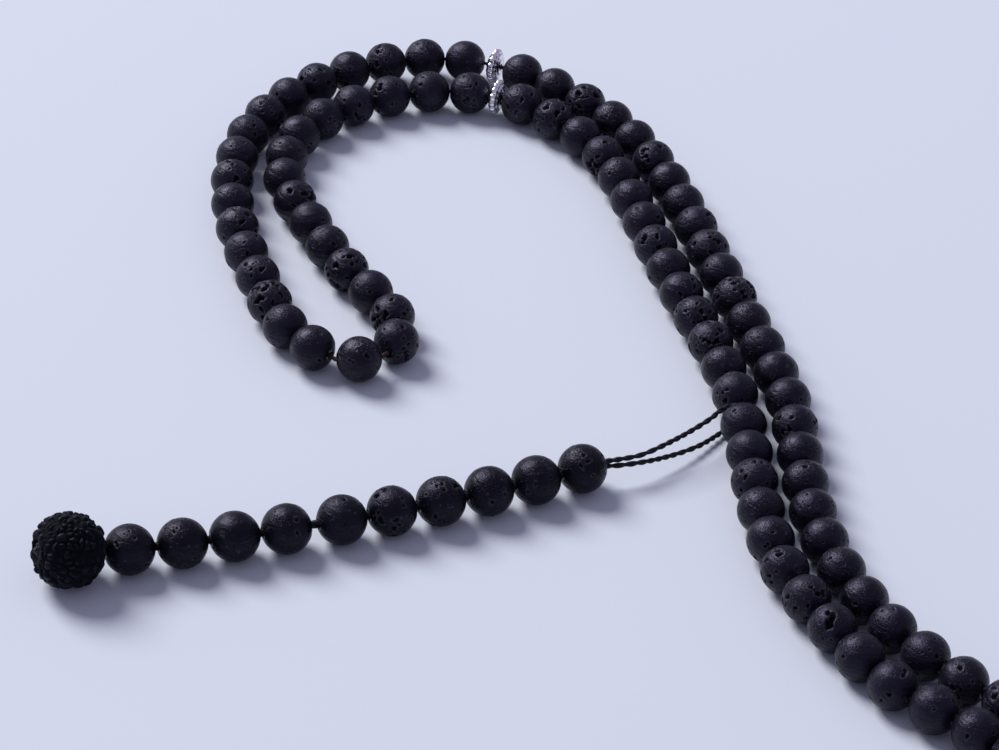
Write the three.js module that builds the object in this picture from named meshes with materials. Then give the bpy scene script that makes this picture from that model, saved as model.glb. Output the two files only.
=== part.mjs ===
// A string of round lava beads with three metal dividers, laid as a flattened
// loop on a table, and a ten-bead counter hooked into it by its own cord.
// Millimetres, +Z up, the table at Z = 0.

import * as THREE from "three";

// Lava beads of the main string. The hole's rims are worn a little flat, so a
// bead is shorter along its hole than it is wide.
const beadDiameter = 8;
const beadRimDiameter = 2.37;
const beadGap = 0.27;
const beadSides = 8;
const beadRunLength = 3;
const sectionBeads = 33;

// The string's thread, its knot, and the dividers between the sections.
const threadDiameter = 0.7;
const boreClearance = 0.3;
const knotDiameter = 2.6;
const knotLength = 2.2;
const dividerDiameter = 6.8;
const dividerLength = 2.5;
const dividerGap = 0.25;
const closingGap = 1.1;

// The counter: ten beads and a seed bead on a doubled cord.
const counterCount = 10;
const counterDiameter = 8.4;
const counterRimDiameter = 2.5;
const counterGap = 0.5;
const counterPause = 0.75;
const beadsBeforeSeed = 4;
const counterCordDiameter = 1.2;
const seedDiameter = 12.4;
const seedLength = 11;
const loopCordDiameter = 0.8;

// A bead's length between the flats worn at the rims of its hole.
const beadLength = Math.sqrt(beadDiameter ** 2 - beadRimDiameter ** 2);
const counterLength = Math.sqrt(counterDiameter ** 2 - counterRimDiameter ** 2);

// How the parts meet.
const faceGap = 0.3;
const beadsBeforeHook = 14;
const hookGap = 1.15;

// Some pieces hang loose on the thread: the first divider and the beads in the
// two sharp folds by the wider gap, and beads along the far bend by a little.
const looseGap = 0.7;
const looseBeads = { first: [1], middle: [0, 17, 18], last: [31, 32] };
const slackGap = 0.3;
const slackBeads = {
  first: [3, 5],
  middle: [7, 8, 9, 10, 11, 12, 13, 14, 20, 21, 22, 23],
  last: [],
};

// The string's lay on the table, for a string this long from end to end. It
// starts at the closing knot, runs up the outer strand, folds at the far left
// and comes back along the inner strand.
const laidLength = 805.5;
const stringRoute = [
  [101.5, -108.3],
  [97.6, -104.1],
  [91, -98.5],
  [77, -90],
  [64, -81],
  [50.5, -71],
  [40.7, -59.4],
  [33.5, -45.5],
  [29.5, -30],
  [28, -14.5],
  [26.5, 1],
  [22.5, 16.5],
  [18, 31.5],
  [13.5, 46.5],
  [9, 62],
  [3.5, 77],
  [-4.2, 90.7],
  [-15.5, 102],
  [-27.5, 109.5],
  [-41.5, 110.5],
  [-55.5, 104],
  [-66.5, 92.5],
  [-73, 78],
  [-74.5, 61.5],
  [-72, 45],
  [-67, 29.5],
  [-61, 14.5],
  [-55.9, 8.4],
  [-48, 5.3],
  [-41.2, 11.6],
  [-42.5, 19.8],
  [-51.5, 33.5],
  [-59, 48],
  [-65, 63],
  [-63.5, 78.5],
  [-54, 91],
  [-40, 98],
  [-26.5, 97.5],
  [-15.7, 90.3],
  [-6.2, 77.9],
  [-0.5, 62.5],
  [4, 47],
  [8.5, 32],
  [13.5, 17],
  [17.5, 1.5],
  [19.5, -15],
  [21, -30.5],
  [24.4, -46],
  [31.3, -60.1],
  [40, -73.5],
  [52, -83.5],
  [62.5, -95.5],
  [72.5, -107.5],
  [78.8, -112.8],
  [87, -116.7],
  [95.7, -114.4],
  [101.2, -111.2],
];

// The counter's free cord leaves its first bead, crosses over the thread in
// the widened gap, turns down behind it and comes back under it just above the
// table. Each step is a distance from the string towards the counter, a
// distance along the string and a rise, from the thread in the gap's middle.
const loopRoute = [
  [24.85, 14.6, 0.5],
  [22.85, 14.3, 0.56],
  [18.9, 13.5, 0.8],
  [14.4, 11.05, 1.1],
  [9.85, 7.85, 1.3],
  [5.6, 4.1, 1.3],
  [3.2, 1.2, 1.08],
  [1.4, 0.15, 0.97],
  [-0.35, 0, 0.95],
  [-1.33, 0, 0.69],
  [-2.04, 0, -0.02],
  [-2.3, 0, -1],
  [-2.04, 0, -1.98],
  [-1.33, 0, -2.69],
  [-0.35, 0, -2.95],
  [1.3, 0.3, -3.1],
  [3.4, 2.35, -3.12],
  [7.4, 6.2, -2.7],
  [11.4, 9.3, -2],
  [15.3, 11.7, -1.35],
  [18.9, 13.5, -0.75],
  [22.6, 14.6, -0.42],
  [24.85, 14.8, -0.4],
];

// The counter's beads lie in a shallow arc from where that cord ends. Its
// heading is counted from the string's own at the gap.
const counterStart = [25.2, 14.8, 0];
const counterHeading = -70.1;
const counterTurn = -1.4;
const seedTurn = 8.5;

const lavaStone = new THREE.MeshStandardMaterial({
  color: 0x1c1a20,
  roughness: 0.62,
  metalness: 0,
});
const seedBlack = new THREE.MeshStandardMaterial({
  color: 0x0c0c10,
  roughness: 0.45,
  metalness: 0,
});
const antiqueSilver = new THREE.MeshStandardMaterial({
  color: 0xb9b6bd,
  roughness: 0.3,
  metalness: 1,
});
const darkCord = new THREE.MeshStandardMaterial({
  color: 0x0d0c1c,
  roughness: 0.8,
  metalness: 0,
});

const mala = new THREE.Group();

function addPart(name, geometry, material) {
  const mesh = new THREE.Mesh(geometry, material);
  mesh.name = name;
  mala.add(mesh);
}

// A station is a place on a string and the way the string runs there.
function station(place, heading) {
  const side = new THREE.Vector3().crossVectors(heading, new THREE.Vector3(0, 0, 1)).normalize();
  const up = new THREE.Vector3().crossVectors(side, heading);
  return { place, heading, side, up };
}

// Stations at the centres of a row of pieces, each facing along its neighbours.
// A piece at the end of a row that doesn't close has only one neighbour.
function stationsThrough(centres, closes) {
  const count = centres.length;
  return centres.map((centre, i) => {
    const before = centres[closes ? (i + count - 1) % count : Math.max(i - 1, 0)];
    const after = centres[closes ? (i + 1) % count : Math.min(i + 1, count - 1)];
    return station(centre, after.clone().sub(before).normalize());
  });
}

// Turns a profile about a string that bends. Each ring of the profile has a
// radius, its distance along its own station, and that station.
function turnedSolid(rings, sides) {
  const profile = rings.map((ring, i) => new THREE.Vector2(ring.radius, i));
  const geometry = new THREE.LatheGeometry(profile, sides, Math.PI / sides);
  const position = geometry.getAttribute("position");
  for (let i = 0; i < position.count; i += 1) {
    const { along, at } = rings[i % rings.length];
    const point = at.place
      .clone()
      .addScaledVector(at.heading, along)
      .addScaledVector(at.side, position.getX(i))
      .addScaledVector(at.up, position.getZ(i));
    position.setXYZ(i, point.x, point.y, point.z);
  }
  return geometry;
}

// The flats of a piece with few sides, not its corners, lie at the true radius.
function flatsAt(radius, sides) {
  return radius / Math.cos(Math.PI / sides);
}

// A row of drilled round beads that touch at their hole rims.
function beadRow(stations, diameter, length, boreDiameter) {
  const radius = diameter / 2;
  const rim = Math.sqrt(radius ** 2 - (length / 2) ** 2);
  const shoulder = Math.PI * 0.28;
  const shape = [
    [rim, -length / 2],
    [radius * Math.sin(shoulder), -radius * Math.cos(shoulder)],
    [radius, 0],
    [radius * Math.sin(shoulder), radius * Math.cos(shoulder)],
    [rim, length / 2],
  ];
  const bore = [
    [boreDiameter / 2, -length / 2],
    [boreDiameter / 2, length / 2],
  ];
  const wall = (points) =>
    stations.flatMap((at) =>
      points.map(([r, along]) => ({ radius: flatsAt(r, beadSides), along, at })),
    );
  const outside = wall(shape);
  const inside = wall(bore).reverse();
  return turnedSolid([...outside, ...inside, outside[0]], beadSides);
}

// A thread through a row of drilled pieces: straight inside each piece, and
// bending in the gaps between them.
function threadThrough(pieces, diameter, sides) {
  const radius = diameter / 2;
  const rings = pieces.flatMap(({ at, length }) => [
    { radius, along: -length / 2, at },
    { radius, along: length / 2, at },
  ]);
  const first = rings[0];
  const last = rings[rings.length - 1];
  return turnedSolid([{ ...first, radius: 0 }, ...rings, { ...last, radius: 0 }], sides);
}

// A piece turned about its own straight axis, from [radius, distance] pairs.
function turnedPiece(at, pairs, sides) {
  const rings = pairs.map(([radius, along]) => ({ radius, along, at }));
  return turnedSolid(rings, sides);
}

function knot(at, diameter, length) {
  const radius = diameter / 2;
  const pairs = [
    [0, -length / 2],
    [radius * 0.7, -length / 2],
    [radius, -length / 6],
    [radius, length / 6],
    [radius * 0.7, length / 2],
    [0, length / 2],
  ];
  return turnedPiece(at, pairs, 10);
}

function divider(at, boreDiameter) {
  const bore = boreDiameter / 2;
  const rim = dividerDiameter / 2;
  const half = dividerLength / 2;
  const pairs = [
    [bore, -half],
    [rim * 0.62, -half],
    [rim, -half * 0.35],
    [rim, half * 0.35],
    [rim * 0.62, half],
    [bore, half],
    [bore, -half],
  ];
  return turnedPiece(at, pairs, 16);
}

// Where the pieces of the main string lie: each is a distance past the last.
function stepAlong(curve, length, start, distance) {
  const from = curve.getPointAt(start);
  let reached = start;
  let place = from;
  while (place.distanceTo(from) < distance && reached < 1) {
    reached = Math.min(reached + 0.05 / length, 1);
    place = curve.getPointAt(reached);
  }
  return { reached, place };
}

const beadHeight = beadDiameter / 2;
const beadCount = 3 * sectionBeads;
const looseCount = 1 + Object.values(looseBeads).flat().length;
const slackCount = Object.values(slackBeads).flat().length;
const stringLength =
  beadCount * beadLength +
  (beadCount - 3) * beadGap +
  looseCount * looseGap +
  slackCount * slackGap +
  hookGap +
  3 * dividerLength +
  knotLength +
  6 * dividerGap +
  closingGap;
const layScale = stringLength / laidLength;
const routePoints = stringRoute.map(
  ([x, y]) => new THREE.Vector3(x * layScale, y * layScale, beadHeight),
);
const route = new THREE.CatmullRomCurve3(routePoints, true, "centripetal");
route.arcLengthDivisions = 4000;
const routeLength = route.getLength();

const stringPieces = [];

function threadOn(kind, length, gapBefore) {
  const last = stringPieces[stringPieces.length - 1];
  if (!last) {
    stringPieces.push({ kind, length, reached: 0, centre: route.getPointAt(0) });
    return;
  }
  const distance = last.length / 2 + gapBefore + length / 2;
  const step = stepAlong(route, routeLength, last.reached, distance);
  stringPieces.push({ kind, length, reached: step.reached, centre: step.place });
}

function threadOnBeads(kind, gapBefore) {
  for (let i = 0; i < sectionBeads; i += 1) {
    const loose = looseBeads[kind].includes(i) ? looseGap : 0;
    const slack = slackBeads[kind].includes(i) ? slackGap : 0;
    const hooked = kind === "last" && i === beadsBeforeHook ? hookGap : 0;
    const gap = i === 0 ? gapBefore : beadGap;
    threadOn(kind, beadLength, gap + loose + slack + hooked);
  }
}

threadOn("knot", knotLength, 0);
threadOnBeads("first", dividerGap);
threadOn("divider", dividerLength, dividerGap + looseGap);
threadOnBeads("middle", dividerGap);
threadOn("divider", dividerLength, dividerGap);
threadOnBeads("last", dividerGap);
threadOn("divider", dividerLength, closingGap);

const stringCentres = stringPieces.map((piece) => piece.centre);
const stringStations = stationsThrough(stringCentres, true);
stringPieces.forEach((piece, i) => {
  piece.at = stringStations[i];
});

// Beads joined in short rows, and the dividers and the knot between them.
const threadBore = threadDiameter + 2 * boreClearance;

function twoDigits(number) {
  return String(number).padStart(2, "0");
}

function addRuns(kind, runLengths) {
  const beads = stringPieces.filter((piece) => piece.kind === kind);
  let from = 0;
  runLengths.forEach((count, i) => {
    const stations = beads.slice(from, from + count).map((piece) => piece.at);
    const beadRun = beadRow(stations, beadDiameter, beadLength, threadBore);
    addPart(`${kind}_beads_${twoDigits(i + 1)}`, beadRun, lavaStone);
    from += count;
  });
}

// Full runs first, then a short one for the beads that are left.
function runsOf(count) {
  const full = Math.floor(count / beadRunLength);
  const left = count - full * beadRunLength;
  return [...Array(full).fill(beadRunLength), ...(left ? [left] : [])];
}

addRuns("first", runsOf(sectionBeads));
addRuns("middle", runsOf(sectionBeads));
addRuns("last", [...runsOf(beadsBeforeHook), ...runsOf(sectionBeads - beadsBeforeHook)]);

stringPieces
  .filter((piece) => piece.kind === "divider")
  .forEach((piece, i) => {
    addPart(`divider_${i + 1}`, divider(piece.at, threadBore), antiqueSilver);
  });

// The thread runs through every piece from one side of the knot to the other.
const closingKnot = stringPieces[0];
addPart("closing_knot", knot(closingKnot.at, knotDiameter, knotLength), darkCord);
addPart("main_thread", threadThrough(stringPieces.slice(1), threadDiameter, 6), darkCord);

// The free cord between the first counter bead and the widened gap.
const lastBeads = stringPieces.filter((piece) => piece.kind === "last");
const beadBefore = lastBeads[beadsBeforeHook - 1].centre;
const beadAfter = lastBeads[beadsBeforeHook].centre;
const hookAt = station(
  beadBefore.clone().add(beadAfter).multiplyScalar(0.5),
  beadAfter.clone().sub(beadBefore).normalize(),
);
const loopScale = beadDiameter / 8;

function placeFromHook([away, along, rise]) {
  return hookAt.place
    .clone()
    .addScaledVector(hookAt.side, away * loopScale)
    .addScaledVector(hookAt.heading, along * loopScale)
    .addScaledVector(hookAt.up, rise * loopScale);
}

const loopSection = new THREE.Shape();
loopSection.absarc(0, 0, loopCordDiameter / 2, 0, 2 * Math.PI);
const loopTube = new THREE.ExtrudeGeometry(loopSection, {
  steps: 70,
  curveSegments: 4,
  bevelEnabled: false,
  extrudePath: new THREE.CatmullRomCurve3(loopRoute.map(placeFromHook), false, "centripetal"),
});
addPart("counter_loop", loopTube, darkCord);

// The counter's beads, in a row that starts where the free cord ends.
const counterHeight = counterDiameter / 2;
const seedHeight = seedDiameter / 2;
const counterCentres = [];
const heading = hookAt.heading.clone();
const next = placeFromHook(counterStart).setZ(counterHeight);

function turnHeading(degrees) {
  heading.applyAxisAngle(new THREE.Vector3(0, 0, 1), THREE.MathUtils.degToRad(degrees));
}

turnHeading(counterHeading);
next.addScaledVector(heading, counterLength / 2);
for (let i = 0; i < counterCount; i += 1) {
  counterCentres.push(next.clone());
  const pause = i === counterCount - 1 - beadsBeforeSeed ? counterPause : 0;
  next.addScaledVector(heading, counterLength + counterGap + pause);
  turnHeading(counterTurn);
}
turnHeading(seedTurn);
const lastCounter = counterCentres[counterCount - 1];
const seedDistance = (counterLength + seedLength) / 2 + counterGap;
const seedRise = seedHeight - counterHeight;
const seedRun = Math.sqrt(seedDistance ** 2 - seedRise ** 2);
const seedCentre = lastCounter.clone().addScaledVector(heading, seedRun).setZ(seedHeight);
const counterStations = stationsThrough([...counterCentres, seedCentre], false);
const counterBore = counterCordDiameter + 2 * boreClearance;

counterStations.slice(0, counterCount).forEach((at, i) => {
  const bead = beadRow([at], counterDiameter, counterLength, counterBore);
  addPart(`counter_bead_${twoDigits(i + 1)}`, bead, lavaStone);
});

// The seed bead has a recess in its far end, where the cord's knot sits.
const seedStation = counterStations[counterCount];
const recessDepth = 2.6;
const tailKnotDiameter = 3;
const tailKnotLength = recessDepth - faceGap;
const recessRadius = tailKnotDiameter / 2 + faceGap;
const seedEnd = seedLength / 2;
const seedRadius = seedDiameter / 2;
const seedProfile = [
  [counterBore / 2, -seedEnd],
  [seedRadius * 0.36, -seedEnd],
  [seedRadius * 0.72, -seedEnd * 0.78],
  [seedRadius * 0.96, -seedEnd * 0.35],
  [seedRadius, seedEnd * 0.05],
  [seedRadius * 0.93, seedEnd * 0.45],
  [seedRadius * 0.7, seedEnd * 0.8],
  [seedRadius * 0.42, seedEnd],
  [recessRadius, seedEnd],
  [recessRadius, seedEnd - recessDepth],
  [counterBore / 2, seedEnd - recessDepth],
  [counterBore / 2, -seedEnd],
];
addPart("seed_bead", turnedPiece(seedStation, seedProfile, 12), seedBlack);

const counterPieces = counterStations.slice(0, counterCount).map((at) => {
  return { at, length: counterLength };
});
const cordInSeed = {
  at: station(
    seedStation.place.clone().addScaledVector(seedStation.heading, -recessDepth / 2),
    seedStation.heading,
  ),
  length: seedLength - recessDepth,
};
addPart(
  "counter_cord",
  threadThrough([...counterPieces, cordInSeed], counterCordDiameter, 8),
  darkCord,
);
const tailKnotStation = station(
  seedStation.place
    .clone()
    .addScaledVector(seedStation.heading, seedEnd - recessDepth + faceGap + tailKnotLength / 2),
  seedStation.heading,
);
addPart("tail_knot", knot(tailKnotStation, tailKnotDiameter, tailKnotLength), darkCord);

// The origin is under the middle of the string and its counter.
const held = new THREE.Box3();
mala.children
  .filter((mesh) => mesh.name !== "counter_loop")
  .forEach((mesh) => held.expandByObject(mesh));
const middle = held.getCenter(new THREE.Vector3());
mala.children.forEach((mesh) => mesh.geometry.translate(-middle.x, -middle.y, 0));

export default mala;
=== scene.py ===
import math

import bmesh
import bpy
import numpy as np
from mathutils import Matrix, Vector


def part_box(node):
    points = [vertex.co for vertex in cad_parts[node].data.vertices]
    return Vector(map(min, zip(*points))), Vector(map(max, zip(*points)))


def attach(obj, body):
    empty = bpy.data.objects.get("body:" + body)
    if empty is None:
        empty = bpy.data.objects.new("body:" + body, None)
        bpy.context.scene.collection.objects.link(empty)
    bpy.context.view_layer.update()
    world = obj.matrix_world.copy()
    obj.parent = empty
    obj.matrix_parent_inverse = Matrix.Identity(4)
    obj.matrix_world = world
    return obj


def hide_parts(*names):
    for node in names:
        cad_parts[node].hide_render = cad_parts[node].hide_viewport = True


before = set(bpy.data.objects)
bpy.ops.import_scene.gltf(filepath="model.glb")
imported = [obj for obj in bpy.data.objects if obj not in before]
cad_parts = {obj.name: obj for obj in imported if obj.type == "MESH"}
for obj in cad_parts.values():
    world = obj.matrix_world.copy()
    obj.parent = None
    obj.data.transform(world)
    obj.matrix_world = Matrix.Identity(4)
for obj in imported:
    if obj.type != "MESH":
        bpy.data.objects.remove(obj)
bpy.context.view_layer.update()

# The camera stands at the near end of the table and looks along the string's
# two strands from about a third of the way up, turned a little to one side.
view_tilt = math.radians(55.4)
view_roll = math.radians(3.6)
camera = bpy.data.objects.new("camera", bpy.data.cameras.new("camera"))
camera.data.lens = 129.7
camera.data.sensor_width = 36
camera.data.clip_start = 0.01
camera.matrix_world = (
    Matrix.Translation((-0.02735, -0.50103, 0.354))
    @ Matrix.Rotation(view_tilt, 4, "X")
    @ Matrix.Rotation(view_roll, 4, "Z")
)
bpy.context.scene.collection.objects.link(camera)
bpy.context.scene.camera = camera

# The string's lay on the table. Round lava beads and three silver dividers
# are threaded one after another along it, from the closing knot and round to it.
bead_diameter = 0.008
bead_rim_diameter = 0.00237
bead_length = math.sqrt(bead_diameter**2 - bead_rim_diameter**2)
bead_gap = 0.00027
loose_gap = 0.0007
loose_beads = {"first": [1], "middle": [0, 17, 18], "last": [31, 32]}
slack_gap = 0.0003
slack_beads = {"first": [3, 5], "middle": [*range(7, 15), *range(20, 24)], "last": []}
section_beads = 33
beads_before_hook = 14
hook_gap = 0.00115
divider_length = 0.0025
divider_gap = 0.00025
closing_gap = 0.0011
knot_length = 0.0022
laid_length = 0.8055
string_route = [
    (0.1015, -0.1083), (0.0976, -0.1041), (0.091, -0.0985), (0.077, -0.09),
    (0.064, -0.081), (0.0505, -0.071), (0.0407, -0.0594), (0.0335, -0.0455),
    (0.0295, -0.03), (0.028, -0.0145), (0.0265, 0.001), (0.0225, 0.0165),
    (0.018, 0.0315), (0.0135, 0.0465), (0.009, 0.062), (0.0035, 0.077),
    (-0.0042, 0.0907), (-0.0155, 0.102), (-0.0275, 0.1095), (-0.0415, 0.1105),
    (-0.0555, 0.104), (-0.0665, 0.0925), (-0.073, 0.078), (-0.0745, 0.0615),
    (-0.072, 0.045), (-0.067, 0.0295), (-0.061, 0.0145), (-0.0559, 0.0084),
    (-0.048, 0.0053), (-0.0412, 0.0116), (-0.0425, 0.0198), (-0.0515, 0.0335),
    (-0.059, 0.048), (-0.065, 0.063), (-0.0635, 0.0785), (-0.054, 0.091),
    (-0.04, 0.098), (-0.0265, 0.0975), (-0.0157, 0.0903), (-0.0062, 0.0779),
    (-0.0005, 0.0625), (0.004, 0.047), (0.0085, 0.032), (0.0135, 0.017),
    (0.0175, 0.0015), (0.0195, -0.015), (0.021, -0.0305), (0.0244, -0.046),
    (0.0313, -0.0601), (0.04, -0.0735), (0.052, -0.0835), (0.0625, -0.0955),
    (0.0725, -0.1075), (0.0788, -0.1128), (0.087, -0.1167), (0.0957, -0.1144),
    (0.1012, -0.1112),
]


def smooth_line(points, closes, steps):
    """Points along a smooth line that passes through every given point."""
    given = np.array(points, float)
    if closes:
        given = np.vstack([given[-1], given, given[0], given[1]])
    else:
        given = np.vstack([2 * given[0] - given[1], given, 2 * given[-1] - given[-2]])
    spans = len(given) - 3
    place = np.linspace(0, spans, steps + 1)
    span = np.minimum(place.astype(int), spans - 1)
    share = (place - span)[:, None]
    before, start, end, after = (given[span + i] for i in range(4))

    def root_length(a, b):
        return np.sum((b - a) ** 2, axis=1)[:, None] ** 0.25

    lead, own, tail = root_length(before, start), root_length(start, end), root_length(end, after)
    leaving = (start - before) / lead - (end - before) / (lead + own) + (end - start) / own
    arriving = (end - start) / own - (after - start) / (own + tail) + (after - end) / tail
    leaving, arriving = leaving * own, arriving * own
    bend = 3 * (end - start) - 2 * leaving - arriving
    twist = 2 * (start - end) + leaving + arriving
    return start + share * (leaving + share * (bend + share * twist))


def walked_along(line):
    """How far along a line each of its points is."""
    return np.concatenate([[0], np.cumsum(np.linalg.norm(np.diff(line, axis=0), axis=1))])


def evenly(line, step):
    """The same line again, as points about a step apart along it."""
    walked = walked_along(line)
    marks = np.linspace(0, walked[-1], round(walked[-1] / step) + 1)
    return np.column_stack([np.interp(marks, walked, axis) for axis in line.T])


def box_middle(node):
    low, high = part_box(node)
    return (Vector(low) + Vector(high)) / 2


bead_count = 3 * section_beads
loose_count = 1 + sum(len(places) for places in loose_beads.values())
slack_count = sum(len(places) for places in slack_beads.values())
string_length = (
    bead_count * bead_length
    + (bead_count - 3) * bead_gap
    + loose_count * loose_gap
    + slack_count * slack_gap
    + hook_gap
    + 3 * divider_length
    + knot_length
    + 6 * divider_gap
    + closing_gap
)
lay_scale = string_length / laid_length
lay = evenly(smooth_line(np.array(string_route) * lay_scale, True, 4000), 0.00005)
lay_shift = box_middle("closing_knot") - Vector((*lay[0], 0))
string_pieces = []


def thread_on(kind, length, gap):
    """Puts the next piece on the string, a gap away from the last."""
    reached = 0
    if string_pieces:
        last = string_pieces[-1]
        reached = last["reached"]
        spacing = last["length"] / 2 + gap + length / 2
        while np.linalg.norm(lay[reached] - lay[last["reached"]]) < spacing:
            reached += 1
    centre = Vector((*lay[reached], 0)) + lay_shift
    string_pieces.append({"kind": kind, "length": length, "reached": reached, "centre": centre})


def thread_on_beads(kind):
    for i in range(section_beads):
        loose = loose_gap if i in loose_beads[kind] else 0
        slack = slack_gap if i in slack_beads[kind] else 0
        hooked = hook_gap if kind == "last" and i == beads_before_hook else 0
        gap = divider_gap if i == 0 else bead_gap
        thread_on(kind, bead_length, gap + loose + slack + hooked)


thread_on("knot", knot_length, 0)
thread_on_beads("first")
thread_on("divider", divider_length, divider_gap + loose_gap)
thread_on_beads("middle")
thread_on("divider", divider_length, divider_gap)
thread_on_beads("last")
thread_on("divider", divider_length, closing_gap)
for i, piece in enumerate(string_pieces):
    after = string_pieces[(i + 1) % len(string_pieces)]
    piece["heading"] = (after["centre"] - string_pieces[i - 1]["centre"]).normalized()

# The counter's free cord: a dark two-ply cord, doubled through the counter's
# beads. It loops over the string's thread in a widened gap and comes back
# under it, just above the table.
loop_cord_diameter = 0.0008
loop_route = [
    (0.02485, 0.0146, 0.0005), (0.02285, 0.0143, 0.00056), (0.0189, 0.0135, 0.0008),
    (0.0144, 0.01105, 0.0011), (0.00985, 0.00785, 0.0013), (0.0056, 0.0041, 0.0013),
    (0.0032, 0.0012, 0.00108), (0.0014, 0.00015, 0.00097), (-0.00035, 0, 0.00095),
    (-0.00133, 0, 0.00069), (-0.00204, 0, -0.00002), (-0.0023, 0, -0.001),
    (-0.00204, 0, -0.00198), (-0.00133, 0, -0.00269), (-0.00035, 0, -0.00295),
    (0.0013, 0.0003, -0.0031), (0.0034, 0.00235, -0.00312), (0.0074, 0.0062, -0.0027),
    (0.0114, 0.0093, -0.002), (0.0153, 0.0117, -0.00135), (0.0189, 0.0135, -0.00075),
    (0.0226, 0.0146, -0.00042), (0.02485, 0.0148, -0.0004),
]
ply_turn = 0.0038
upwards = Vector((0, 0, 1))
last_beads = [piece for piece in string_pieces if piece["kind"] == "last"]
bead_before = last_beads[beads_before_hook - 1]["centre"]
bead_after = last_beads[beads_before_hook]["centre"]
hook_place = (bead_before + bead_after) / 2
hook_heading = (bead_after - bead_before).normalized()
hook_side = hook_heading.cross(upwards)


def place_from_hook(step):
    away, along, rise = step
    return hook_place + hook_side * away + hook_heading * along + upwards * rise


def carried_frames(line):
    """Two directions across the line at each point, carried along without twisting."""
    tangents = np.gradient(line, axis=0)
    tangents /= np.linalg.norm(tangents, axis=1)[:, None]
    across = np.cross(tangents[0], (0.0, 0.0, 1.0))
    sides = []
    for tangent in tangents:
        across = across - tangent * np.dot(across, tangent)
        across = across / np.linalg.norm(across)
        sides.append(across)
    sides = np.array(sides)
    return sides, np.cross(tangents, sides)


def plied_cord(name, line, diameter, turn, plies=2):
    """A mesh of round plies laid round each other along a line."""
    sides, ups = carried_frames(line)
    walked = walked_along(line)
    curve = bpy.data.curves.new(name, "CURVE")
    curve.dimensions = "3D"
    curve.bevel_depth = diameter * 0.37
    curve.bevel_resolution = 2
    curve.use_fill_caps = True
    for ply in range(plies):
        turns = 2 * math.pi * (walked / turn + 0.12 * np.sin(walked / turn * 1.7) + ply / plies)
        lay_off = diameter * 0.23 * (sides * np.cos(turns)[:, None] + ups * np.sin(turns)[:, None])
        spline = curve.splines.new("POLY")
        spline.points.add(len(line) - 1)
        spline.points.foreach_set("co", np.column_stack([line + lay_off, np.ones(len(line))]).ravel())
    drawn = bpy.data.objects.new(name, curve)
    mesh = bpy.data.meshes.new_from_object(drawn)
    bpy.data.objects.remove(drawn)
    bpy.data.curves.remove(curve)
    mesh.materials.clear()
    mesh.shade_smooth()
    piece = bpy.data.objects.new(name, mesh)
    bpy.context.scene.collection.objects.link(piece)
    return piece


def yarn(name, shade, gloss):
    """Waxed thread: fine fibres that catch the light along each ply."""
    material = bpy.data.materials.new(name)
    material.use_nodes = True
    nodes, links = material.node_tree.nodes, material.node_tree.links
    shader = nodes["Principled BSDF"]
    shader.inputs["Roughness"].default_value = gloss
    shader.inputs["Specular IOR Level"].default_value = 0.25
    shader.inputs["Sheen Weight"].default_value = 0.04
    shader.inputs["Sheen Roughness"].default_value = 0.5
    place = nodes.new("ShaderNodeTexCoord")
    fibres = nodes.new("ShaderNodeTexNoise")
    fibres.inputs["Scale"].default_value = 5200
    fibres.inputs["Detail"].default_value = 4
    tones = nodes.new("ShaderNodeValToRGB")
    tones.color_ramp.elements[0].position = 0.35
    tones.color_ramp.elements[1].position = 0.75
    tones.color_ramp.elements[0].color = (*[c * 0.55 for c in shade], 1)
    tones.color_ramp.elements[1].color = (*[c * 2.2 for c in shade], 1)
    relief = nodes.new("ShaderNodeBump")
    relief.inputs["Strength"].default_value = 0.5
    relief.inputs["Distance"].default_value = 0.00004
    links.new(place.outputs["Object"], fibres.inputs["Vector"])
    links.new(fibres.outputs["Fac"], tones.inputs["Fac"])
    links.new(tones.outputs["Color"], shader.inputs["Base Color"])
    links.new(fibres.outputs["Fac"], relief.inputs["Height"])
    links.new(relief.outputs["Normal"], shader.inputs["Normal"])
    return material


cord_yarn = yarn("cord_yarn", (0.0022, 0.0022, 0.0075), 0.5)
loop_steps = [place_from_hook(step) for step in loop_route]
loop_line = evenly(smooth_line(loop_steps, False, 3000), 0.00012)
counter_loop = plied_cord("counter_loop_cord", loop_line, loop_cord_diameter, ply_turn)
counter_loop.data.materials.append(cord_yarn)
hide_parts("counter_loop")
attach(counter_loop, "counter_cord")

# The main thread: a dark maroon elastic thread, plied from two, that runs
# through every bead. Each row of beads carries its own stretch of it, from the
# middle of the bead it bends at.
thread_diameter = 0.0007
thread_ply_turn = 0.0021
thread_maroon = yarn("thread_maroon", (0.028, 0.007, 0.006), 0.5)
row_beads = 3


def row_sizes(count):
    left = count % row_beads
    return [row_beads] * (count // row_beads) + ([left] if left else [])


rows = []
taken = 1
for kind, sizes in (
    ("first", row_sizes(section_beads)),
    ("middle", row_sizes(section_beads)),
    ("last", row_sizes(beads_before_hook) + row_sizes(section_beads - beads_before_hook)),
):
    for i, size in enumerate(sizes):
        rows.append({"name": f"{kind}_beads_{i + 1:02d}", "places": list(range(taken, taken + size))})
        taken += size
    taken += 1
held_row = [row["name"] for row in rows].index("middle_beads_06")


def thread_line(places):
    """The thread's way through some pieces: straight in each, bent between them."""
    ways = []
    for place in places:
        piece = string_pieces[place]
        reach = piece["heading"] * piece["length"] * 0.46
        ways += [piece["centre"] - reach, piece["centre"], piece["centre"] + reach]
    return ways


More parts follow.
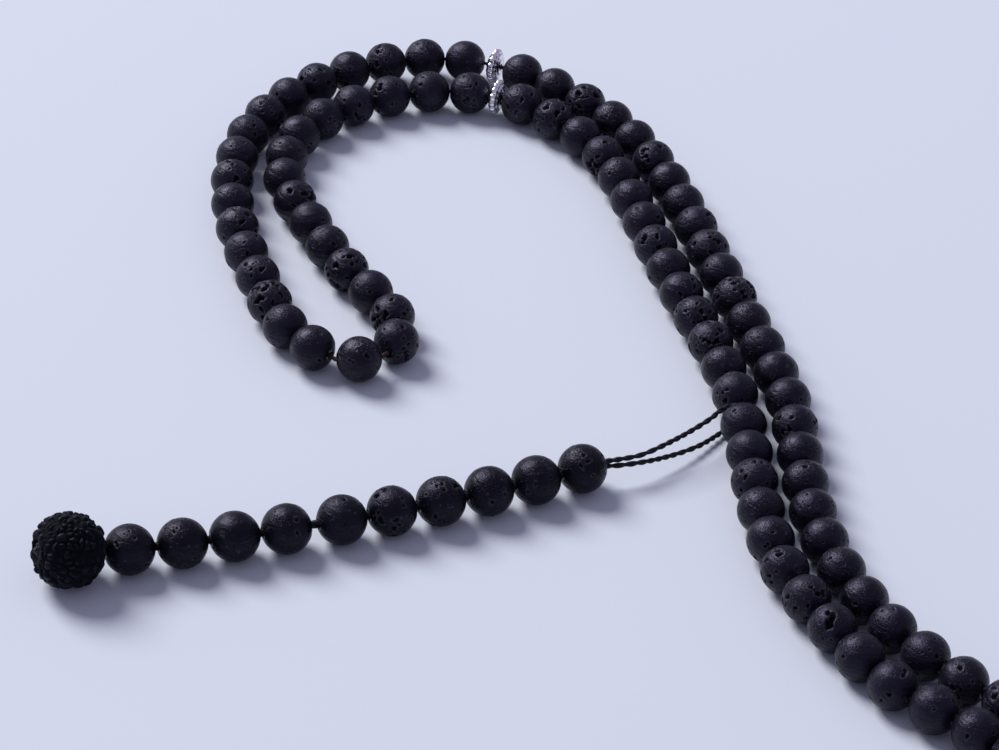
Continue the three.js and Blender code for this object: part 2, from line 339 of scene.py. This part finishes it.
for i, row in enumerate(rows):
    places = list(row["places"])
    if i < held_row:
        places = list(range(places[0], rows[i + 1]["places"][0] + 1))
        ways = thread_line(places)[:-1]
    elif i > held_row:
        places = list(range(rows[i - 1]["places"][-1], places[-1] + 1))
        ways = thread_line(places)[1:]
    else:
        ways = thread_line(places)
    line = evenly(smooth_line(ways, False, 600), 0.00016)
    stretch = plied_cord(row["name"] + "_thread", line, thread_diameter, thread_ply_turn)
    stretch.data.materials.append(thread_maroon)
    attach(stretch, row["name"])
    if i == held_row:
        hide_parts("main_thread")

# The closing knot: the thread's two ends tied together beside the third
# divider, with three turns drawn up tight round them.
knot_diameter = 0.0026
steps_a_turn = 36


def wrapped_knot(name, centre, heading, diameter, length, cord, turns):
    """Turns of cord round a core, closed at both ends by the cord passing through."""
    side = heading.cross(upwards).normalized()
    up = side.cross(heading)
    coil = []
    for step in range(int(turns * steps_a_turn) + 1):
        angle = step / steps_a_turn * 2 * math.pi
        share = step / (turns * steps_a_turn)
        reach = (diameter - cord) / 2 * (1 - 0.25 * (2 * share - 1) ** 2)
        along = (share - 0.5) * (length - cord)
        coil.append(centre + heading * along + (side * math.cos(angle) + up * math.sin(angle)) * reach)
    core = [centre + heading * (length * 0.48) * (share - 1) for share in (0, 0.5, 1, 1.5, 2)]
    coil_line = evenly(smooth_line(coil, False, 2000), 0.00012)
    core_line = evenly(smooth_line(core, False, 300), 0.00015)
    wraps = plied_cord(name, coil_line, cord, cord * 3)
    middle = plied_cord(name + "_core", core_line, diameter - 2.1 * cord, 0.002)
    joined = bmesh.new()
    joined.from_mesh(wraps.data)
    joined.from_mesh(middle.data)
    joined.to_mesh(wraps.data)
    joined.free()
    wraps.data.shade_smooth()
    bpy.data.meshes.remove(middle.data)
    return wraps


knot_piece = string_pieces[0]
closing_knot = wrapped_knot(
    "closing_knot_wraps", knot_piece["centre"], knot_piece["heading"],
    knot_diameter, knot_length, thread_diameter, 3,
)
closing_knot.data.materials.append(thread_maroon)
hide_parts("closing_knot")
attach(closing_knot, "last_beads_12")

# The lava beads: round balls of black basalt, ground from porous stone and
# tumbled to a satin. Each is drilled through, with the hole's rims worn flat,
# and is pitted by its own burst gas bubbles, from a few pinholes to a sponge.
bore_clearance = 0.0006
bore_diameter = thread_diameter + bore_clearance


def drilled_ball(name, diameter, rim, bore, rings, sides):
    """A ball about Z with a hole through it and a small flat round each end."""
    half_arc = math.pi / 2 - math.asin(rim / diameter)
    half_length = diameter / 2 * math.sin(half_arc)
    ball = bmesh.new()
    low = ball.verts.new((rim / 2, 0, -half_length))
    spun = bmesh.ops.spin(ball, geom=[low], axis=(0, -1, 0), angle=2 * half_arc, steps=rings)
    high = spun["geom_last"][0]
    bore_low = bmesh.ops.extrude_vert_indiv(ball, verts=[low])["verts"][0]
    bore_low.co.x = bore / 2
    bore_high = bmesh.ops.extrude_vert_indiv(ball, verts=[high])["verts"][0]
    bore_high.co.x = bore / 2
    ball.edges.new((bore_low, bore_high))
    outline = ball.verts[:] + ball.edges[:]
    bmesh.ops.spin(ball, geom=outline, axis=(0, 0, 1), angle=2 * math.pi, steps=sides, use_merge=True)
    bmesh.ops.recalc_face_normals(ball, faces=ball.faces)
    mesh = bpy.data.meshes.new(name)
    ball.to_mesh(mesh)
    ball.free()
    mesh.shade_smooth()
    return mesh


def smoothly(low, high, value):
    share = np.clip((value - low) / (high - low), 0, 1)
    return share * share * (3 - 2 * share)


def random_directions(seeded, count):
    directions = seeded.normal(size=(count, 3))
    return directions / np.linalg.norm(directions, axis=1)[:, None]


def burst_bubbles(seeded, count, smallest, largest, craters):
    """Pits gathered in a few patches: directions, half-widths, turns, depths, outlines."""
    patches = random_directions(seeded, 3)
    gathered = patches[seeded.integers(0, 3, count)] + seeded.normal(scale=0.42, size=(count, 3))
    scattered = random_directions(seeded, count)
    directions = np.where(seeded.random((count, 1)) < 0.55, gathered, scattered)
    wide = smallest + (largest - smallest) * seeded.random(count) ** 1.5
    narrow = wide * seeded.uniform(0.55, 1, count)
    deep = narrow * seeded.uniform(1.1, 1.7, count)
    turn = seeded.uniform(0, math.pi, count)
    for direction, width, height, slant in craters:
        directions = np.vstack([directions, direction])
        wide, narrow, deep = np.append(wide, width), np.append(narrow, height), np.append(deep, height)
        turn = np.append(turn, slant)
    directions /= np.linalg.norm(directions, axis=1)[:, None]
    waves = seeded.uniform(0, 2 * math.pi, (3, len(wide)))
    return directions, wide, narrow, turn, deep, waves


def pitted(points, pits):
    """How far each point of a ball is pressed in, and how much it is pit or pit rim."""
    directions, wide, narrow, turn, deep, waves = pits
    radius = np.linalg.norm(points, axis=1)
    towards = points / radius[:, None]
    first = np.cross(directions, (0.0, 0.0, 1.0))
    first /= np.linalg.norm(first, axis=1)[:, None] + 1e-9
    second = np.cross(directions, first)
    across = first * np.cos(turn)[:, None] + second * np.sin(turn)[:, None]
    along = np.cross(directions, across)
    x = towards @ across.T * radius[:, None] / wide
    y = towards @ along.T * radius[:, None] / narrow
    angle = np.arctan2(y, x)
    outline = 1 + 0.2 * np.sin(2 * angle + waves[0]) + 0.16 * np.sin(3 * angle + waves[1])
    outline += 0.1 * np.sin(5 * angle + waves[2])
    away = np.hypot(x, y) / outline
    away[towards @ directions.T < 0.3] = 9
    inside = 1 - smoothly(0.65, 1.0, away)
    depth = (inside * (0.8 + 0.2 * np.clip(1 - away**2, 0, 1)) * deep).max(axis=1)
    pore = inside.max(axis=1)
    beyond = (away - 1) * narrow
    rim = np.exp(-(((beyond - 0.0001) / 0.0001) ** 2)).max(axis=1) * (1 - pore)
    return depth - 0.00004 * rim, pore, rim


def swollen(towards, seeded, waves=7):
    """Slow swells over a ball, from a few waves in random directions."""
    swell = np.zeros(len(towards))
    for direction in random_directions(seeded, waves):
        swell += np.sin(towards @ direction * seeded.uniform(2.5, 6) + seeded.uniform(0, 6.28))
    return swell / waves


def level_pit(turned, facing, wide, narrow):
    """A pit that faces a given way, with its wider half-width level, in a bead's own axes."""
    level = facing.cross(upwards)
    first = facing.cross(turned.col[2]).normalized()
    second = facing.normalized().cross(first)
    return turned.transposed() @ facing, wide, narrow, math.atan2(level.dot(second), level.dot(first))


def lava_beads(name, ball, beads, rim, seeded, kinds, own_kinds, craters):
    """A row of beads as one piece, each with its own pores, at their places."""
    row = bmesh.new()
    for bead in beads:
        row.from_mesh(ball)
    mesh = bpy.data.meshes.new(name)
    row.to_mesh(mesh)
    row.free()
    plain = np.empty(len(mesh.vertices) * 3)
    mesh.vertices.foreach_get("co", plain)
    plain = plain.reshape(len(beads), -1, 3)
    pores = np.zeros(plain.shape[:2])
    rims = np.zeros(plain.shape[:2])
    tones = np.zeros(plain.shape[:2])
    placed = np.empty(plain.shape)
    for i, bead in enumerate(beads):
        points = plain[i]
        radius = np.linalg.norm(points, axis=1)
        towards = points / radius[:, None]
        spin = Matrix.Rotation(seeded.uniform(0, 2 * math.pi), 3, "Z")
        turned = bead["turn"] @ spin
        chosen = int(seeded.choice(len(kinds), p=[share for *_, share in kinds]))
        chosen = own_kinds.get(bead["tag"], chosen)
        fewest, most, smallest, largest, _ = kinds[chosen]
        own_pits = [level_pit(turned, *crater) for crater in craters.get(bead["tag"], ())]
        pits = burst_bubbles(seeded, int(seeded.integers(fewest, most)), smallest, largest, own_pits)
        pressed, pore, lit_rim_share = pitted(points, pits)
        from_axis = np.hypot(points[:, 0], points[:, 1])
        free = smoothly(rim * 0.47, rim * 0.72, from_axis)
        pressed = pressed * free + 0.00003 * swollen(towards, seeded) * free + 0.00002 * free
        rounder = (radius - pressed) / radius
        placed[i] = (points * rounder[:, None]) @ np.array(turned).T + np.array(bead["centre"])
        # The pore share is tinted near-black by the material: painted shade inside the pits.
        pores[i] = pore * free
        # The rim share is tinted lighter by the material: a painted highlight on the pit rims.
        rims[i] = lit_rim_share * free
        tones[i] = seeded.random()
    mesh.vertices.foreach_set("co", placed.ravel())
    for label, values in (("pore", pores), ("rim", rims), ("tone", tones)):
        mesh.attributes.new(label, "FLOAT", "POINT").data.foreach_set("value", values.ravel())
    mesh.update()
    piece = bpy.data.objects.new(name, mesh)
    bpy.context.scene.collection.objects.link(piece)
    return piece


def turn_along(heading):
    """The turn that lays a piece made about Z along a heading, its X axis level."""
    side = heading.cross(upwards).normalized()
    up = side.cross(heading)
    return Matrix((side, up, -heading)).transposed() @ Matrix.Rotation(math.pi, 3, "Y")


def lava(name, dark, light, shine, gloss):
    """Tumbled basalt: a satin skin with level wrinkles and a fine grain, rubbed pit rims painted
    lighter as a painted highlight, and pores painted near-black as painted shade.
    """
    material = bpy.data.materials.new(name)
    material.use_nodes = True
    nodes, links = material.node_tree.nodes, material.node_tree.links
    shader = nodes["Principled BSDF"]
    shader.inputs["Specular IOR Level"].default_value = shine
    shader.inputs["Specular Tint"].default_value = (0.73, 0.7, 1, 1)
    place = nodes.new("ShaderNodeTexCoord")
    levelled = nodes.new("ShaderNodeMapping")
    levelled.inputs["Scale"].default_value = (0.45, 0.45, 2.2)
    links.new(place.outputs["Object"], levelled.inputs["Vector"])

    def painted(label):
        attribute = nodes.new("ShaderNodeAttribute")
        attribute.attribute_name = label
        return attribute.outputs["Fac"]

    def texture(kind, scale, **settings):
        pattern = nodes.new(kind)
        links.new(place.outputs["Object"], pattern.inputs["Vector"])
        pattern.inputs["Scale"].default_value = scale
        for label, value in settings.items():
            pattern.inputs[label].default_value = value
        return pattern

    def mapped(source, low, high, from_low=0.0, from_high=1.0):
        step = nodes.new("ShaderNodeMapRange")
        links.new(source, step.inputs["Value"])
        limits = {"From Min": from_low, "From Max": from_high, "To Min": low, "To Max": high}
        for label, value in limits.items():
            step.inputs[label].default_value = value
        return step.outputs["Result"]

    def joined(kind, first, second):
        step = nodes.new("ShaderNodeMath")
        step.operation = kind
        links.new(first, step.inputs[0])
        links.new(second, step.inputs[1])
        return step.outputs["Value"]

    def tinted(share, under, over):
        mix = nodes.new("ShaderNodeMix")
        mix.data_type = "RGBA"
        links.new(share, mix.inputs["Factor"])
        if isinstance(under, tuple):
            mix.inputs["A"].default_value = (*under, 1)
        else:
            links.new(under, mix.inputs["A"])
        mix.inputs["B"].default_value = (*over, 1)
        return mix.outputs["Result"]

    pore, rim, tone = painted("pore"), painted("rim"), painted("tone")
    mottle = texture("ShaderNodeTexNoise", 520, Detail=5).outputs["Fac"]
    grain = texture("ShaderNodeTexNoise", 2600, Detail=4, Distortion=1.6).outputs["Fac"]
    ragged = texture("ShaderNodeTexNoise", 1500, Detail=2).outputs["Fac"]
    patches = texture("ShaderNodeTexNoise", 230, Detail=1).outputs["Fac"]
    wrinkles = texture("ShaderNodeTexNoise", 620, Detail=3, Distortion=0.8)
    links.new(levelled.outputs["Vector"], wrinkles.inputs["Vector"])
    bubbles = texture("ShaderNodeTexVoronoi", 780, Randomness=1)
    breadth = mapped(bubbles.outputs["Color"], -0.1, 0.31, 0.4, 0.75)
    breadth = joined("MULTIPLY", breadth, mapped(patches, 0.25, 1, 0.37, 0.54))
    bubble_edge = joined("SUBTRACT", bubbles.outputs["Distance"], breadth)
    bubble_edge = joined("ADD", bubble_edge, mapped(ragged, -0.16, 0.16))
    burst = mapped(bubble_edge, 1, 0, -0.05, 0)
    lipped = joined("MULTIPLY", mapped(bubble_edge, 1, 0, 0.03, 0.09), mapped(burst, 1, 0))
    cells = texture("ShaderNodeTexVoronoi", 1450, Randomness=1).outputs["Distance"]
    pinholes = joined("MULTIPLY", mapped(cells, 1, 0, 0.16, 0.26), mapped(patches, 0, 1, 0.44, 0.54))
    mottled = joined("MULTIPLY", mapped(mottle, 0, 1, 0.35, 0.7), mapped(tone, 0.35, 1))
    # Painted highlight: the rims of the pits and of the burst bubbles are tinted lighter below,
    # standing for the light their edges catch.
    painted_rim_highlight = joined("MULTIPLY", joined("MAXIMUM", rim, lipped), mapped(grain, 0, 0.8, 0.35, 0.6))
    # Painted shade: the pits, pinholes and burst bubbles are tinted near-black below, standing for the
    # shade inside them; they are also made rougher.
    hollow = joined("MAXIMUM", mapped(pore, 0, 0.95, 0.1, 0.6), mapped(pinholes, 0, 0.8))
    hollow = joined("MAXIMUM", hollow, mapped(burst, 0, 0.95))
    skin = tinted(mottled, dark, light)
    skin = tinted(painted_rim_highlight, skin, (0.065, 0.06, 0.07))
    skin = tinted(hollow, skin, (0.0008, 0.0007, 0.001))
    links.new(skin, shader.inputs["Base Color"])
    rough = joined("ADD", mapped(tone, gloss - 0.04, gloss + 0.06), mapped(hollow, 0, 0.4))
    rough = joined("ADD", rough, mapped(grain, -0.08, 0.08))
    links.new(rough, shader.inputs["Roughness"])
    height = joined("ADD", mapped(pinholes, 1, 0), mapped(grain, 0, 0.6))
    height = joined("ADD", height, mapped(mottle, 0, 0.7))
    height = joined("ADD", height, mapped(wrinkles.outputs["Fac"], 0, 1.5))
    height = joined("ADD", height, mapped(burst, 1.6, 0))
    bumps = nodes.new("ShaderNodeBump")
    bumps.inputs["Strength"].default_value = 0.9
    bumps.inputs["Distance"].default_value = 0.00015
    links.new(height, bumps.inputs["Height"])
    links.new(bumps.outputs["Normal"], shader.inputs["Normal"])
    return material


string_lava = lava("string_lava", (0.0016, 0.0013, 0.0036), (0.0078, 0.0063, 0.017), 0.31, 0.34)
string_ball = drilled_ball(
    "string_ball", 0.995 * bead_diameter, bead_rim_diameter, bore_diameter, 58, 116,
)
string_kinds = (
    (6, 14, 0.0002, 0.00042, 0.4),
    (20, 36, 0.0002, 0.0006, 0.35),
    (44, 70, 0.00022, 0.00072, 0.25),
)
# How pitted each near bead is, by its place on the string. One of them has a deep
# crater on its near side, given by the way it faces and by its two half-widths.
smooth, pitted_through, spongy = 0, 1, 2
string_own = dict.fromkeys([*range(9, 17), *range(18, 22), 81, 83, 84, 86, 91, 93, 94], smooth)
string_own |= dict.fromkeys([8, 17, 78, 82, 85, 87, 89, 90, 92], pitted_through)
string_own |= dict.fromkeys([79, 80, 88], spongy)
string_craters = {90: [(Vector((-0.2, -0.6, 0.8)), 0.0008, 0.0014)]}
for i, row in enumerate(rows):
    beads = []
    for place in row["places"]:
        piece = string_pieces[place]
        beads.append({"tag": place, "centre": piece["centre"], "turn": turn_along(piece["heading"])})
    stones = lava_beads(
        row["name"] + "_stones", string_ball, beads, bead_rim_diameter,
        np.random.default_rng(40 + i), string_kinds, string_own, string_craters,
    )
    stones.data.materials.append(string_lava)
    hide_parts(row["name"])
    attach(stones, row["name"])
bpy.data.meshes.remove(string_ball)

# The dividers: small cast silver rondelles, one between two sections. The
# girdle is scalloped, each face has a raised ring, and the hollows are tarnished.
divider_diameter = 0.0068
scallops = 14


def rondelle(name, centre, heading):
    """A scalloped disc turned from half an outline, mirrored and spun."""
    rim, half, bore = divider_diameter / 2, divider_length / 2, bore_diameter / 2
    outline = [
        (bore, 0), (bore, half * 0.86), (bore + 0.0002, half * 0.97), (rim * 0.4, half * 0.97),
        (rim * 0.47, half * 0.8), (rim * 0.56, half * 0.76), (rim * 0.64, half * 0.84),
        (rim * 0.72, half * 0.78), (rim * 0.8, half * 0.55), (rim * 0.9, half * 0.5),
        (rim * 0.97, half * 0.34), (rim, half * 0.14), (rim, 0),
    ]
    disc = bmesh.new()
    corners = [disc.verts.new((radius, 0, height)) for radius, height in outline]
    edges = [disc.edges.new(pair) for pair in zip(corners, corners[1:])]
    bmesh.ops.mirror(disc, geom=corners + edges, axis="Z", merge_dist=0.000001)
    bmesh.ops.subdivide_edges(disc, edges=disc.edges[:], cuts=2, smooth=0.7)
    geometry = disc.verts[:] + disc.edges[:]
    bmesh.ops.spin(disc, geom=geometry, axis=(0, 0, 1), angle=2 * math.pi, steps=168, use_merge=True)
    bmesh.ops.remove_doubles(disc, verts=disc.verts, dist=0.0000005)
    bmesh.ops.recalc_face_normals(disc, faces=disc.faces)
    for corner in disc.verts:
        around = math.atan2(corner.co.y, corner.co.x)
        reach = math.hypot(corner.co.x, corner.co.y)
        scooped = max(0, (reach - rim * 0.5) / (rim * 0.5)) ** 1.4
        pinch = 1 - 0.1 * scooped * (1 - abs(math.cos(around * scallops / 2)) ** 0.7)
        corner.co.x *= pinch
        corner.co.y *= pinch
        corner.co.z *= 1 - 0.22 * scooped * (1 - abs(math.cos(around * scallops / 2)))
    bmesh.ops.transform(disc, matrix=turn_along(heading).to_4x4(), verts=disc.verts)
    bmesh.ops.translate(disc, vec=centre, verts=disc.verts)
    mesh = bpy.data.meshes.new(name)
    disc.to_mesh(mesh)
    disc.free()
    mesh.shade_smooth()
    piece = bpy.data.objects.new(name, mesh)
    bpy.context.scene.collection.objects.link(piece)
    return piece


def tarnished_silver(name):
    """Bright worn silver with grey tarnish in its hollows and fine scratches."""
    material = bpy.data.materials.new(name)
    material.use_nodes = True
    nodes, links = material.node_tree.nodes, material.node_tree.links
    shader = nodes["Principled BSDF"]
    shader.inputs["Metallic"].default_value = 1
    place = nodes.new("ShaderNodeTexCoord")
    stain = nodes.new("ShaderNodeTexNoise")
    stain.inputs["Scale"].default_value = 900
    stain.inputs["Detail"].default_value = 6
    hollows = nodes.new("ShaderNodeNewGeometry")
    edges = nodes.new("ShaderNodeMapRange")
    edges.inputs["From Min"].default_value = 0.44
    edges.inputs["From Max"].default_value = 0.53
    mixed = nodes.new("ShaderNodeMath")
    mixed.operation = "MULTIPLY_ADD"
    mixed.inputs[1].default_value = 0.7
    colours = nodes.new("ShaderNodeValToRGB")
    colours.color_ramp.elements[0].position = 0.3
    colours.color_ramp.elements[0].color = (0.11, 0.105, 0.12, 1)
    colours.color_ramp.elements[1].position = 0.85
    colours.color_ramp.elements[1].color = (0.86, 0.84, 0.88, 1)
    sheen = nodes.new("ShaderNodeMapRange")
    sheen.inputs["To Min"].default_value = 0.5
    sheen.inputs["To Max"].default_value = 0.2
    relief = nodes.new("ShaderNodeBump")
    relief.inputs["Strength"].default_value = 0.25
    relief.inputs["Distance"].default_value = 0.00006
    links.new(place.outputs["Object"], stain.inputs["Vector"])
    links.new(hollows.outputs["Pointiness"], edges.inputs["Value"])
    links.new(edges.outputs["Result"], mixed.inputs[0])
    links.new(stain.outputs["Fac"], mixed.inputs[2])
    links.new(mixed.outputs["Value"], colours.inputs["Fac"])
    links.new(colours.outputs["Color"], shader.inputs["Base Color"])
    links.new(mixed.outputs["Value"], sheen.inputs["Value"])
    links.new(sheen.outputs["Result"], shader.inputs["Roughness"])
    links.new(stain.outputs["Fac"], relief.inputs["Height"])
    links.new(relief.outputs["Normal"], shader.inputs["Normal"])
    return material


silver = tarnished_silver("tarnished_silver")
dividers = [piece for piece in string_pieces if piece["kind"] == "divider"]
for i, piece in enumerate(dividers):
    node = f"divider_{i + 1}"
    disc = rondelle(node + "_rondelle", piece["centre"], piece["heading"])
    disc.data.materials.append(silver)
    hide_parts(node)
    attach(disc, node)

# The counter's ten beads: the same stone, a little larger and bluer, on a
# doubled cord. The first one slides along the cord to set the counter's loop.
counter_diameter = 0.0084
counter_rim_diameter = 0.0025
counter_length = math.sqrt(counter_diameter**2 - counter_rim_diameter**2)
counter_cord_diameter = 0.0012
counter_ply_turn = 0.0036
counter_count = 10
counter_gap = 0.0005
counter_turn = math.radians(-1.4)
seed_turn = math.radians(8.5)
seed_diameter = 0.0124
seed_length = 0.011
counter_centres = [box_middle(f"counter_bead_{i + 1:02d}") for i in range(counter_count)]
last_reach = (counter_centres[-1] - counter_centres[-2]).normalized()
seed_heading = Matrix.Rotation(2 * counter_turn + seed_turn, 3, "Z") @ last_reach
seed_distance = (counter_length + seed_length) / 2 + counter_gap
seed_rise = (seed_diameter - counter_diameter) / 2
seed_run = math.sqrt(seed_distance**2 - seed_rise**2)
seed_centre = counter_centres[-1] + seed_heading * seed_run + upwards * seed_rise
row_centres = counter_centres + [seed_centre]
row_headings = []
for i, centre in enumerate(row_centres):
    before = row_centres[max(i - 1, 0)]
    after = row_centres[min(i + 1, counter_count)]
    row_headings.append((after - before).normalized())
counter_lava = lava("counter_lava", (0.001, 0.0011, 0.0025), (0.0045, 0.0048, 0.0112), 0.23, 0.33)
counter_bore = counter_cord_diameter + bore_clearance
counter_ball = drilled_ball(
    "counter_ball", 0.99 * counter_diameter, counter_rim_diameter, counter_bore, 62, 124,
)
counter_kinds = (
    (9, 18, 0.0002, 0.00045, 0.5),
    (30, 52, 0.0002, 0.00066, 0.5),
)
counter_own = dict.fromkeys(range(1, counter_count + 1), smooth)
counter_own |= dict.fromkeys([4, 5], pitted_through)
for i in range(counter_count):
    node = f"counter_bead_{i + 1:02d}"
    bead = {"tag": i + 1, "centre": row_centres[i], "turn": turn_along(row_headings[i])}
    stone = lava_beads(
        node + "_stone", counter_ball, [bead], counter_rim_diameter,
        np.random.default_rng(140 + i), counter_kinds, counter_own, {},
    )
    stone.data.materials.append(counter_lava)
    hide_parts(node)
    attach(stone, node)
bpy.data.meshes.remove(counter_ball)

# The counter's cord: the free cord's two strands laid together through the
# beads. Each bead carries its own stretch, from the middle of the bead before.
recess_depth = 0.0026
ends = [counter_centres[0] - row_headings[0] * counter_length * 0.5] + counter_centres
seed_reach = seed_centre + row_headings[-1] * (seed_length / 2 - recess_depth)
for i in range(counter_count + 1):
    start = ends[i]
    finish = row_centres[i] if i < counter_count else seed_reach
    middle_way = [start.lerp(finish, share) for share in (0.0, 0.25, 0.5, 0.75, 1.0)]
    line = evenly(smooth_line(middle_way, False, 200), 0.0002)
    label = f"counter_bead_{i + 1:02d}_cord" if i < counter_count else "seed_cord"
    stretch = plied_cord(label, line, counter_cord_diameter, counter_ply_turn)
    stretch.data.materials.append(cord_yarn)
    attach(stretch, "counter_cord" if i == 0 else f"counter_bead_{min(i + 1, counter_count):02d}")
    if i == 0:
        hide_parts("counter_cord")

# The seed at the counter's end: a small black drum-shaped seed with a knobbly,
# blackberry-like skin, drilled through and cupped at its far end for the knot.
tail_knot_diameter = 0.003
face_gap = 0.0003
recess_radius = tail_knot_diameter / 2 + face_gap
seed_end = seed_length / 2
seed_radius = seed_diameter / 2
seed_bore = counter_bore / 2
knob_count = 330


def knobbly_seed(name, centre, heading, seeded):
    """A spun drum whose skin is pushed out into rounded knobs with creases between."""
    skin = [
        (0.3, -0.985), (0.5, -0.93), (0.7, -0.79), (0.87, -0.52), (0.955, -0.2),
        (0.965, 0.1), (0.91, 0.42), (0.78, 0.7), (0.6, 0.9), (0.4, 0.985),
    ]
    skin_points = [np.array((radius * seed_radius, height * seed_end)) for radius, height in skin]
    rounded = evenly(smooth_line(skin_points, False, 900), 0.00011)
    recess = [(recess_radius, seed_end * 0.985), (recess_radius, seed_end - recess_depth)]
    recess += [(seed_bore, seed_end - recess_depth), (seed_bore, -seed_end * 0.985)]
    outline = [tuple(point) for point in rounded] + recess
    drum = bmesh.new()
    corners = [drum.verts.new((radius, 0, height)) for radius, height in outline]
    edges = [drum.edges.new(pair) for pair in zip(corners, corners[1:] + corners[:1])]
    bmesh.ops.spin(
        drum, geom=corners + edges, axis=(0, 0, 1), angle=2 * math.pi, steps=250, use_merge=True,
    )
    bmesh.ops.recalc_face_normals(drum, faces=drum.faces)
    mesh = bpy.data.meshes.new(name)
    drum.to_mesh(mesh)
    drum.free()
    points = np.empty(len(mesh.vertices) * 3)
    mesh.vertices.foreach_get("co", points)
    points = points.reshape(-1, 3)
    knobs = random_directions(seeded, knob_count) * (seed_radius, seed_radius, seed_end)
    breadth = seeded.uniform(0.7, 1.45, knob_count)
    away = np.sort(np.linalg.norm(points[:, None, :] - knobs[None], axis=2) / breadth, axis=1)
    crease = smoothly(0, 0.0006, away[:, 1] - away[:, 0])
    dome = np.sqrt(np.clip(1 - (away[:, 0] / 0.0013) ** 2, 0, 1))
    from_axis = np.hypot(points[:, 0], points[:, 1])
    skin_size = (seed_radius * 0.9, seed_radius * 0.9, seed_end * 0.93)
    skin_share = np.linalg.norm(points / skin_size, axis=1)
    outer = smoothly(0.0022, 0.003, from_axis) * smoothly(0.9, 1.0, skin_share)
    raised = (0.00042 * crease + 0.0004 * dome - 0.00062) * outer
    points += points / np.linalg.norm(points, axis=1)[:, None] * raised[:, None]
    placed = points @ np.array(turn_along(heading)).T + np.array(centre)
    mesh.vertices.foreach_set("co", placed.ravel())
    mesh.attributes.new("crease", "FLOAT", "POINT").data.foreach_set("value", 1 - crease * outer)
    mesh.update()
    mesh.shade_smooth()
    piece = bpy.data.objects.new(name, mesh)
    bpy.context.scene.collection.objects.link(piece)
    return piece


def seed_skin(name):
    """Black waxy seed coat, dull in its creases, with faint blue glints."""
    material = bpy.data.materials.new(name)
    material.use_nodes = True
    nodes, links = material.node_tree.nodes, material.node_tree.links
    shader = nodes["Principled BSDF"]
    shader.inputs["Specular IOR Level"].default_value = 0.15
    shader.inputs["Specular Tint"].default_value = (0.7, 0.76, 1, 1)
    place = nodes.new("ShaderNodeTexCoord")
    crease = nodes.new("ShaderNodeAttribute")
    crease.attribute_name = "crease"
    speckle = nodes.new("ShaderNodeTexNoise")
    speckle.inputs["Scale"].default_value = 1700
    speckle.inputs["Detail"].default_value = 4
    colours = nodes.new("ShaderNodeValToRGB")
    colours.color_ramp.elements[0].position = 0.35
    colours.color_ramp.elements[0].color = (0.0008, 0.0008, 0.0014, 1)
    colours.color_ramp.elements[1].position = 0.75
    colours.color_ramp.elements[1].color = (0.0028, 0.003, 0.0058, 1)
    dull = nodes.new("ShaderNodeMapRange")
    dull.inputs["To Min"].default_value = 0.42
    dull.inputs["To Max"].default_value = 0.85
    relief = nodes.new("ShaderNodeBump")
    relief.inputs["Strength"].default_value = 0.6
    relief.inputs["Distance"].default_value = 0.0001
    links.new(place.outputs["Object"], speckle.inputs["Vector"])
    links.new(speckle.outputs["Fac"], colours.inputs["Fac"])
    links.new(colours.outputs["Color"], shader.inputs["Base Color"])
    links.new(crease.outputs["Fac"], dull.inputs["Value"])
    links.new(dull.outputs["Result"], shader.inputs["Roughness"])
    links.new(speckle.outputs["Fac"], relief.inputs["Height"])
    links.new(relief.outputs["Normal"], shader.inputs["Normal"])
    return material


seed = knobbly_seed("seed_skin", seed_centre, row_headings[-1], np.random.default_rng(9))
seed.data.materials.append(seed_skin("black_seed_coat"))
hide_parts("seed_bead")
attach(seed, "seed_bead")

# The tail knot: the doubled cord tied off in the seed's cup.
tail_knot_length = recess_depth - face_gap
tail_knot_reach = seed_end - recess_depth + face_gap + tail_knot_length / 2
tail_knot_centre = seed_centre + row_headings[-1] * tail_knot_reach
tail_knot = wrapped_knot(
    "tail_knot_wraps", tail_knot_centre, row_headings[-1],
    tail_knot_diameter, tail_knot_length, loop_cord_diameter * 0.85, 2.5,
)
tail_knot.data.materials.append(cord_yarn)
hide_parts("tail_knot")
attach(tail_knot, "counter_bead_10")

# The table top and the light: a pale lilac-white sheet, one large soft lamp
# high at the far left, and a pale room all round.
table_top = bmesh.new()
bmesh.ops.create_grid(table_top, x_segments=1, y_segments=1, size=3)
sheet_mesh = bpy.data.meshes.new("table_top")
table_top.to_mesh(sheet_mesh)
table_top.free()
floor = bpy.data.objects.new("table_top", sheet_mesh)
bpy.context.scene.collection.objects.link(floor)
pale = bpy.data.materials.new("pale_sheet")
pale.use_nodes = True
pale_shader = pale.node_tree.nodes["Principled BSDF"]
pale_shader.inputs["Base Color"].default_value = (0.655, 0.7, 0.75, 1)
pale_shader.inputs["Roughness"].default_value = 0.75
pale_shader.inputs["Specular IOR Level"].default_value = 0.2
sheet_mesh.materials.append(pale)

room = bpy.data.worlds.new("pale_room")
room.use_nodes = True
room.node_tree.nodes["Background"].inputs["Color"].default_value = (0.72, 0.7, 1, 1)
room.node_tree.nodes["Background"].inputs["Strength"].default_value = 0.4
bpy.context.scene.world = room


def soft_lamp(name, place, aim, size, power, colour):
    lamp = bpy.data.objects.new(name, bpy.data.lights.new(name, "AREA"))
    lamp.data.shape = "DISK"
    lamp.data.size = size
    lamp.data.energy = power
    lamp.data.color = colour
    lamp.location = place
    lamp.rotation_euler = (Vector(place) - Vector(aim)).to_track_quat("Z", "Y").to_euler()
    bpy.context.scene.collection.objects.link(lamp)


soft_lamp("window", (-2.6, 2.3, 3.3), (0, 0, 0), 2.6, 250, (0.97, 0.95, 1))

bpy.context.scene.view_settings.view_transform = "Standard"
